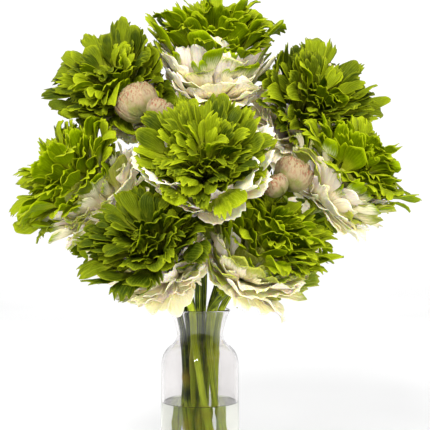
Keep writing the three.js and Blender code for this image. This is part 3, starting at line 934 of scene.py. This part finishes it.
# Rings lie close together at both ends of the wall, because smooth shading blends normals between two rings.
water_heights = [10.3, 11, *np.linspace(20, WATER_LEVEL, 8), *(WATER_LEVEL + rise for rise in (0.5, 0.75, 0.8))]
water_wall = [(WATER_RADIUS, height) for height in water_heights]
meniscus = [
    (radius, WATER_LEVEL + rise) for radius, rise in [(28.6, 0.35), (27.8, 0.08), (26.8, 0), (24, 0), (0.4, 0)]
]
water = turned("vase_water", water_foot + water_wall + meniscus, VASE_SIDES)
water.data.materials.append(clear_finish("clear_water", (0.9, 0.94, 0.87), index=1.333, waviness=0.1))
dress(water, "water", "water")
print("water:", len(water.data.polygons), "faces")

# %% [markdown]
# ## Stems
# A stem is a long tube, a little ribbed, with two knots where leaves were taken off. Each is modelled
# straight: a disc extruded up in steps, with rings made wider at its knots. It is then laid along its
# flower's path, which runs straight through the water, is held together in the waist, and curves out to the
# flower.

# %% A straight stem
STEM_SIDES = 12
STEM_RINGS = 60
KNOT_SWELL = 0.28
KNOT_LENGTH = 0.9


def straight_stem(knots):
    """Points and faces of a tube of radius and length 1, which swells at its knots, given as shares of it."""
    deselect_all()
    bpy.ops.mesh.primitive_circle_add(vertices=STEM_SIDES, radius=1, fill_type="NGON")
    piece = bpy.context.object
    bpy.ops.object.mode_set(mode="EDIT")
    swell = 1
    for ring in range(1, STEM_RINGS + 1):
        bpy.ops.mesh.extrude_region_move(TRANSFORM_OT_translate={"value": (0, 0, 1 / STEM_RINGS)})
        share = ring / STEM_RINGS
        near = sum(math.exp(-(((share - knot) * STEM_RINGS) / KNOT_LENGTH) ** 2) for knot in knots)
        wider = 1 + KNOT_SWELL * near
        bpy.ops.transform.resize(value=(wider / swell, wider / swell, 1), center_override=(0, 0, share))
        swell = wider
    bpy.ops.mesh.select_all(action="SELECT")
    bpy.ops.mesh.normals_make_consistent(inside=False)
    bpy.ops.object.mode_set(mode="OBJECT")
    return points_and_faces(piece)


stalk_pattern = straight_stem([0.5])
print("stalk pattern:", len(stalk_pattern[0]), "points")

# %% Paths of the stems
STEM_END_HEIGHT = GLASS_FLOOR + 1
NECK_HEIGHT = 145
RIM_PASS_HEIGHT = 172
BUNCH_TWIST = math.radians(75)
INNER_TURN = math.radians(12)
RECEPTACLE_DEPTH = 8
# How far the stems of a ring of the bunch are from the vase's axis at the floor, in the neck and at the rim.
RINGS = {"middle": (0, 0, 0), "inner": (11, 6.6, 9), "outer": (22, 13.1, 18.4)}


def ring_point(radius, angle, height):
    return np.array([radius * math.cos(angle), radius * math.sin(angle), height])


def unit(vector):
    return vector / np.linalg.norm(vector)


def stem_path(flower):
    floor, neck_radius, rim_radius = RINGS[flower.ring]
    angle = math.atan2(flower.base[1], flower.base[0]) - (INNER_TURN if flower.ring == "inner" else 0)
    foot = ring_point(floor, angle + BUNCH_TWIST, STEM_END_HEIGHT)
    neck = ring_point(neck_radius, angle, NECK_HEIGHT)
    rim = ring_point(rim_radius, angle, RIM_PASS_HEIGHT)
    end = flower.base - flower.axis * RECEPTACLE_DEPTH * flower.scale * 0.5
    rise = np.linalg.norm(end - rim)
    spread = math.hypot(end[0], end[1]) - rim_radius
    leaning = unit(ring_point(0.55 * spread, angle, end[2] - RIM_PASS_HEIGHT))
    path = [foot + (neck - foot) * share for share in np.linspace(0, 1, 15)]
    path += bezier([neck, ring_point(neck_radius + 0.6, angle, NECK_HEIGHT + 8), rim - leaning * 8, rim], 8)
    path += bezier([rim, rim + leaning * rise * 0.35, end - flower.axis * rise * 0.22, end], 24)
    return np.array(path)


def stalk_path(bud, parent):
    at = int(np.argmax(parent[:, 2] >= bud.leaves))
    start, tangent = parent[at], unit(parent[at + 1] - parent[at])
    end = bud.centre - bud.axis * (bud.radius + 0.3)
    reach = np.linalg.norm(end - start)
    corners = [start, start + tangent * reach * 0.3, end - bud.axis * reach * 0.35, end]
    return np.array([start] + bezier(corners, 24))


paths = {flower.name: stem_path(flower) for flower in FLOWERS}
for bud in BUDS:
    paths[bud.name] = stalk_path(bud, paths[bud.on])
lengths = {name: np.linalg.norm(np.diff(path, axis=0), axis=1).sum() for name, path in paths.items()}
print("path lengths in mm:", {name: round(float(length)) for name, length in lengths.items()})

# %% Laying a stem along its path
RIB_DEPTH = 0.04


def lay_along(points, path, radius, draw):
    """A straight stem's points along a path, without twisting the tube, and each point's place on its map."""
    steps = np.linalg.norm(np.diff(path, axis=0), axis=1)
    share = np.concatenate([[0], np.cumsum(steps)]) / steps.sum()
    rings = np.unique(points[:, 2].round(5))
    middle = np.column_stack([np.interp(rings, share, path[:, axis]) for axis in range(3)])
    ahead = np.gradient(middle, axis=0)
    ahead /= np.linalg.norm(ahead, axis=1, keepdims=True)
    side = unit(np.cross(ahead[0], (0.3, 1, 0.2)))
    laid = np.zeros_like(points)
    start = draw.uniform(0, 6)
    for ring, centre, forward in zip(rings, middle, ahead):
        side = unit(side - forward * (side @ forward))
        third = np.cross(forward, side)
        own = np.abs(points[:, 2] - ring) < 1e-4
        ribbed = 1 + RIB_DEPTH * np.cos(4 * np.arctan2(points[own, 1], points[own, 0]) + start)
        flat = points[own, :2] * (radius * ribbed)[:, None]
        laid[own] = centre + flat[:, :1] * side + flat[:, 1:] * third
    return laid, tube_place(points)


def tube_place(points, height=1):
    """A place on the map for each point of a tube: how far round, and how far up for its height."""
    around = np.arctan2(points[:, 1], points[:, 0]) / (2 * math.pi) % 1
    return np.column_stack([around, points[:, 2] / height])


def tube_map(faces, place):
    """The map's corners face by face, with the seam's faces unrolled past 1."""
    corners = []
    for face in faces:
        own = place[face].copy()
        if np.ptp(own[:, 0]) > 0.5:
            own[own[:, 0] < 0.5, 0] += 1
        corners.append(own)
    return np.concatenate(corners)


print("stems can be laid")

# %% [markdown]
# ## Stem finish
# Fresh stems are smooth and a little glossy, with fine lengthwise streaks, and each has a green of its own.
# Under the water a stem is painted lighter, as painted light where the glass keeps the lamps off it, and above
# the rim it is painted darker, as painted shade. Their knots have dried to brown. A stem carries the same tone
# colours as a petal: red is how bright it is, painted light and shade included, and green how dried.

# %% Stem finish
stem_green, tree, surface = new_material("stem_skin")
stem_map, _ = petal_place(tree)
bright_share, dried_share, _ = own_tone(tree)
streaks = noise(tree, 1.0, vector=stem_map, stretch=(22, 5, 1))
mottle = use_group(tree, mottle_group, Scale=120.0, Contrast=0.6)["Tone"]
uneven = plus(tree, mottle, times(tree, minus(tree, streaks, 0.5), 1.8))
skin = mixed(tree, plus(tree, bright_share, uneven, clamp=True), (0.025, 0.045, 0.0), (0.72, 0.86, 0.05))
feed_all(tree, surface, {
    "Base Color": mixed(tree, dried_share, skin, (0.56, 0.4, 0.03)),
    "Roughness": ramp(tree, streaks, 0.2, 0.8, 0.32, 0.5),
    "Specular IOR Level": 0.2,
})
add_bump(tree, surface, streaks, strength=0.35, distance=0.0004)
print("made", stem_green.name)

# %% Stem pieces
STEM_RADIUS = 2.7
STALK_RADIUS = 1.3
KNOT_HEIGHTS = [62, 88, 118]
DRIED_LENGTH = 1.4
STEM_SEED = 300
GOLDEN_SHARE = 0.618
RECEPTACLE_SIDES = 16
RECEPTACLE = [
    (0.2, -RECEPTACLE_DEPTH), (1.6, -RECEPTACLE_DEPTH), (2.4, -7.2), (4.4, -4.4), (6.6, -2.2),
    (7.8, -0.8), (7.9, 0.4), (6.5, 1.2), (0.2, 1.4),
]


def stem_parts(flower, own_green, draw):
    """Tubes of a flower's stem and of its bud stalks, as (points, faces, map, tone)."""
    knots = [(height + draw.uniform(-13, 13)) / lengths[flower.name] for height in draw.sample(KNOT_HEIGHTS, 2)]
    wanted = [(flower.name, straight_stem(knots), STEM_RADIUS, knots)]
    names = {flower.name}
    for bud in BUDS:
        if bud.on in names:
            names.add(bud.name)
            wanted.append((bud.name, stalk_pattern, STALK_RADIUS, []))
    parts = []
    for name, (points, faces), radius, knots in wanted:
        laid, place = lay_along(points, paths[name], radius, draw)
        dried = np.zeros(len(laid))
        for knot in knots:
            dried = dried + np.exp(-(((place[:, 1] - knot) * STEM_RINGS) / DRIED_LENGTH) ** 2)
        # Painted light and shade: a stem is painted lighter under the water, where the glass keeps the lamps
        # off it, and darker above the rim.
        painted_shade_above_rim, painted_light_under_water = laid[:, 2] > VASE_HEIGHT, laid[:, 2] < WATER_LEVEL
        bright = np.clip(1.4 * own_green - 0.04 - 0.6 * painted_shade_above_rim + 0.4 * painted_light_under_water, 0, 1)
        unused, full = np.zeros(len(laid)), np.ones(len(laid))
        tone = np.column_stack([bright, dried * draw.uniform(0.15, 0.55), unused, full])
        parts.append((laid, faces, tube_map(faces, place), tone))
    return parts


def receptacle_part(flower):
    """The small cone that the petals grow from."""
    points, faces = points_and_faces(turned("receptacle", RECEPTACLE, RECEPTACLE_SIDES))
    points = points / MM
    placed = flower.base + (points * flower.scale) @ flower.turn.T
    return placed, faces, tube_map(faces, tube_place(points, 10)), np.tile([0.3, 0, 0, 1.0], (len(points), 1))


for index, flower in enumerate(FLOWERS):
    own_green = (0.2 + GOLDEN_SHARE * index) % 1
    parts = stem_parts(flower, own_green, random.Random(STEM_SEED + index))
    stem = join_parts("green_stem_" + flower.name, parts + [receptacle_part(flower)], [stem_green])
    stem.data.shade_smooth()
    dress(stem, "stem", "stem_" + flower.name)
print("stem:", len(stem.data.vertices), "points")

# %% [markdown]
# ## Buds
# A side bud is a tight ball of blush petals that wrap one over the other, with its outer petals ending lower
# than its inner ones. The cream patterns are wrapped round a ball this time, from its foot up over its top,
# and the inmost four cross over the top and close it. The petals are finely pleated, and red-brown flecks
# gather towards their tips. The tone's red says how green a tip is.

# %% Bud finish
bud_blush, tree, surface = new_material("bud_petal")
petal_map, along = petal_place(tree)
veins = use_group(tree, vein_group, Petal_map=petal_map, Count=17.0, Wander=0.2, Width=0.35)["Veins"]
mottle = use_group(tree, mottle_group, Scale=160.0, Contrast=1.0)["Tone"]
green_tip = times(tree, own_tone(tree)[0], ramp(tree, along, 0.35, 0.8))
flecks = ramp(tree, noise(tree, 760, stretch=(1, 1, 0.45)), 0.5, 0.6)
flecks = times(tree, flecks, ramp(tree, along, 0.25, 0.8, 0.15, 0.9))
skin = mixed(tree, ramp(tree, plus(tree, along, mottle), 0.1, 0.5), (0.22, 0.25, 0.03), (0.42, 0.31, 0.17))
skin = mixed(tree, times(tree, veins, 0.3), skin, (0.6, 0.48, 0.3))
skin = mixed(tree, green_tip, skin, (0.24, 0.3, 0.02))
feed_all(tree, surface, {
    "Base Color": mixed(tree, flecks, skin, (0.33, 0.1, 0.045)),
    "Roughness": 0.6,
    "Subsurface Weight": 0.2,
    "Subsurface Radius": (1.0, 0.7, 0.4),
    "Subsurface Scale": 0.002,
})
add_bump(tree, surface, minus(tree, noise(tree, 500), veins), strength=0.7, distance=0.0006)
print("made", bud_blush.name)

# %% Buds
# For each round: how many petals, how far down from the top they end, their height on the ball and width.
BUD_ROUNDS = [(4, -16, 0.8, 1.7), (7, 14, 0.86, 1.25), (9, 34, 0.93, 1.05), (10, 54, 1.0, 0.95)]
GREEN_ROUNDS = 2
BUD_FOOT = 168
BUD_FLATNESS = 0.9
BUD_PETAL_THICKNESS = 0.4
BUD_SEED = 700


def wrap(pattern, bud, azimuth, top, height, width, draw):
    """The pattern wrapped round a bud, from its foot up to an angle from its top."""
    across, along = pattern.points.T
    polar = np.radians(BUD_FOOT + (top - BUD_FOOT) * along)
    turn = azimuth + across * width / np.maximum(np.sin(polar), 0.35)
    pleat = 0.045 * np.cos(8 * math.pi * across) * along
    flare = draw.uniform(0.05, 0.16) * np.clip((along - 0.7) / 0.3, 0, 1) ** 2
    radius = bud.radius * (height + pleat + flare + 0.05 * np.abs(2 * across) ** 2 * along)
    flat = np.sin(polar) * radius
    points = np.column_stack([flat * np.cos(turn), flat * np.sin(turn), np.cos(polar) * radius * BUD_FLATNESS])
    return bud.centre + points @ bud.turn.T


def bud_sheets(bud, draw):
    """The inner rounds are green at their tips and close the top, the outer ones are blush and frilled."""
    sheets = []
    for layer, (count, top, height, width) in enumerate(BUD_ROUNDS):
        spin = draw.uniform(0, 6)
        for index in range(count):
            azimuth = spin + 2 * math.pi * index / count + draw.uniform(-0.15, 0.15)
            pattern = draw.choice(cream_patterns)
            wrapped = wrap(pattern, bud, azimuth, top + draw.uniform(-8, 8), height, width, draw)
            green = draw.uniform(0.6, 1) if layer < GREEN_ROUNDS else draw.random() * 0.2
            sheets.append((pattern, wrapped, (green, draw.random(), draw.random())))
    return sheets


grow(BUDS, bud_sheets, BUD_SEED, "bud_petals_", [bud_blush], "bud_petal", "bud_", BUD_PETAL_THICKNESS)

# %% [markdown]
# ## Sepals
# Under each head six small green sepals fold back over the stem. They are the broader green patterns again, a
# good deal shorter, and they hide the place where the petals leave the receptacle.

# %% Sepals
SEPALS = 6
SEPAL_TURN = 1.05
SEPAL_SIZE = 19
SEPAL_SEED = 400
BROAD_PATTERNS = green_patterns[:5]


def sepal(draw, azimuth):
    return dict(
        start=(SEPAL_SIZE * 0.45, -1), lean=degrees(draw, 105, 8), end_lean=degrees(draw, 138, 22),
        length=SEPAL_SIZE * draw.uniform(0.9, 1.25), width=SEPAL_SIZE * draw.uniform(0.5, 0.7), azimuth=azimuth,
        twist=draw.uniform(-0.3, 0.3), cup=draw.uniform(-2, 2), curl=degrees(draw, -20, 40), pleat=0.2,
        ripple=0.6, beats=9, phase=draw.uniform(0, 6),
    )


def sepal_sheets(flower, draw):
    sheets = []
    for leaf in range(SEPALS):
        pattern = draw.choice(BROAD_PATTERNS)
        bent = bend(pattern, sepal(draw, leaf * SEPAL_TURN + draw.uniform(-0.2, 0.2)), flower)
        sheets.append((pattern, bent, (draw.uniform(0.1, 0.6), 0, 0)))
    return sheets


grow(FLOWERS, sepal_sheets, SEPAL_SEED, "sepals_", GREEN_SIDES, "stem")

# %% Size, and the end
pieces = [o for o in scene.objects if o.type == "MESH" and o != sweep and o.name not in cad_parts]
counts = [sum(len(p.vertices) - 2 for p in o.data.polygons) for o in pieces]
print("triangles:", sum(counts), "in all,", max(counts), "in the largest of", len(counts), "pieces")
